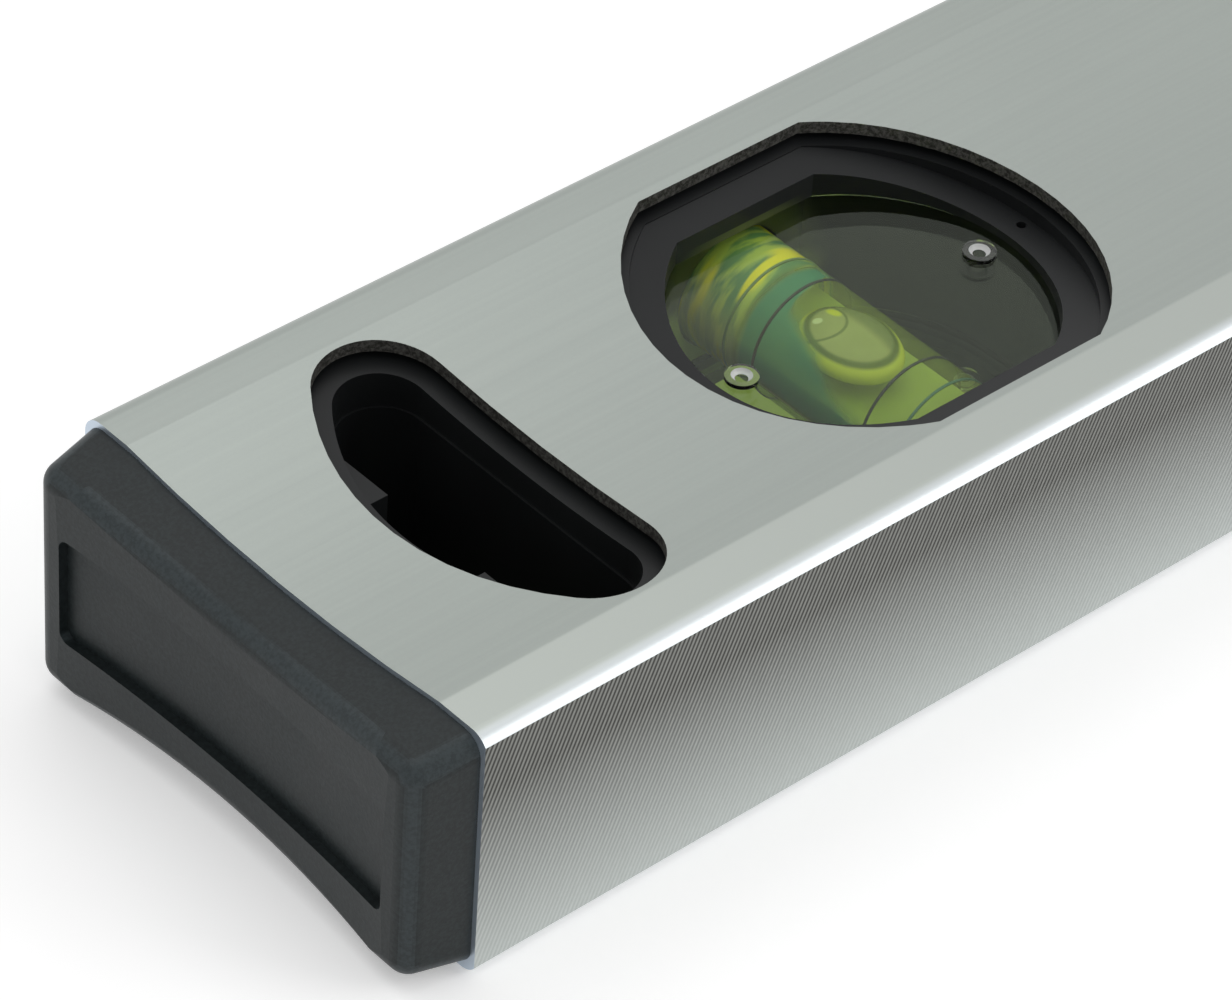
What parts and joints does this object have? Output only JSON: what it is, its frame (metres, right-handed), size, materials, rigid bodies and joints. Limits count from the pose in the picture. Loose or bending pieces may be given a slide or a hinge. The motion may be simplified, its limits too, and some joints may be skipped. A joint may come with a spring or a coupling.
{
  "type": "magnetic spirit level",
  "caption": "Box-section aluminium spirit level with dished faces, milled magnetic base, rubber end caps, lined hang holes, plumb vials near the ends and a level vial in the top edge.",
  "frame": {"origin": "middle of the back face, on the plane that the level lies on", "axes": "+X along the level, +Y from the milled magnetic base to the top edge, +Z from the back face to the front face"},
  "size_m": [0.4, 0.05, 0.0254],
  "materials": {
    "anodised_aluminium": "satin anodised, milled base",
    "cap_rubber": "matt moulded rubber",
    "black_plastic": "black moulded plastic with a soft gloss",
    "clear_lens": "clear polished acrylic",
    "vial_tube": "clear polished acrylic",
    "vial_seal": "moulded plastic",
    "vial_liquid": "clear yellow-green liquid",
    "bubble_air": "clear",
    "line_black": "printed line",
    "magnet": "nickel-plated"
  },
  "bodies": {
    "level": {"beam": "anodised_aluminium", "end_cap_left": "cap_rubber", "end_cap_right": "cap_rubber", "hang_liner_left_front": "black_plastic", "hang_liner_left_back": "black_plastic", "hang_liner_right_front": "black_plastic", "hang_liner_right_back": "black_plastic", "plumb_left_shell_front": "black_plastic", "plumb_left_shell_back": "black_plastic", "plumb_left_lens_front": "clear_lens", "plumb_left_lens_back": "clear_lens", "plumb_left_tube": "vial_tube", "plumb_left_seal": "vial_seal", "plumb_left_liquid": "vial_liquid", "plumb_left_marks": "line_black", "plumb_right_shell_front": "black_plastic", "plumb_right_shell_back": "black_plastic", "plumb_right_lens_front": "clear_lens", "plumb_right_lens_back": "clear_lens", "plumb_right_tube": "vial_tube", "plumb_right_seal": "vial_seal", "plumb_right_liquid": "vial_liquid", "plumb_right_marks": "line_black", "level_shell_front": "black_plastic", "level_shell_back": "black_plastic", "level_lens_front": "clear_lens", "level_lens_back": "clear_lens", "level_lens_top": "clear_lens", "level_tube": "vial_tube", "level_seal": "vial_seal", "level_liquid": "vial_liquid", "level_marks": "line_black", "magnet_1": "magnet", "magnet_2": "magnet", "magnet_3": "magnet", "magnet_4": "magnet", "magnet_holder_1": "black_plastic", "magnet_holder_2": "black_plastic", "magnet_holder_3": "black_plastic", "magnet_holder_4": "black_plastic"},
    "plumb_left_bubble_body": {"plumb_left_bubble": "bubble_air"},
    "plumb_right_bubble_body": {"plumb_right_bubble": "bubble_air"},
    "level_bubble_body": {"level_bubble": "bubble_air"}
  },
  "joints": [
    {"name": "plumb_left_bubble_slide", "type": "slide", "parent": "level", "child": "plumb_left_bubble_body", "axis": [0, 1, 0], "range_m": [-0.0104, 0.0084], "stiffness_N_per_m": 0.05, "deforming": ["plumb_left_liquid"]},
    {"name": "plumb_right_bubble_slide", "type": "slide", "parent": "level", "child": "plumb_right_bubble_body", "axis": [0, 1, 0], "range_m": [-0.0104, 0.0084], "stiffness_N_per_m": 0.05, "deforming": ["plumb_right_liquid"]},
    {"name": "level_bubble_slide", "type": "slide", "parent": "level", "child": "level_bubble_body", "axis": [1, 0, 0], "range_m": [-0.017, 0.016], "stiffness_N_per_m": 0.05, "deforming": ["level_liquid"]}
  ]
}
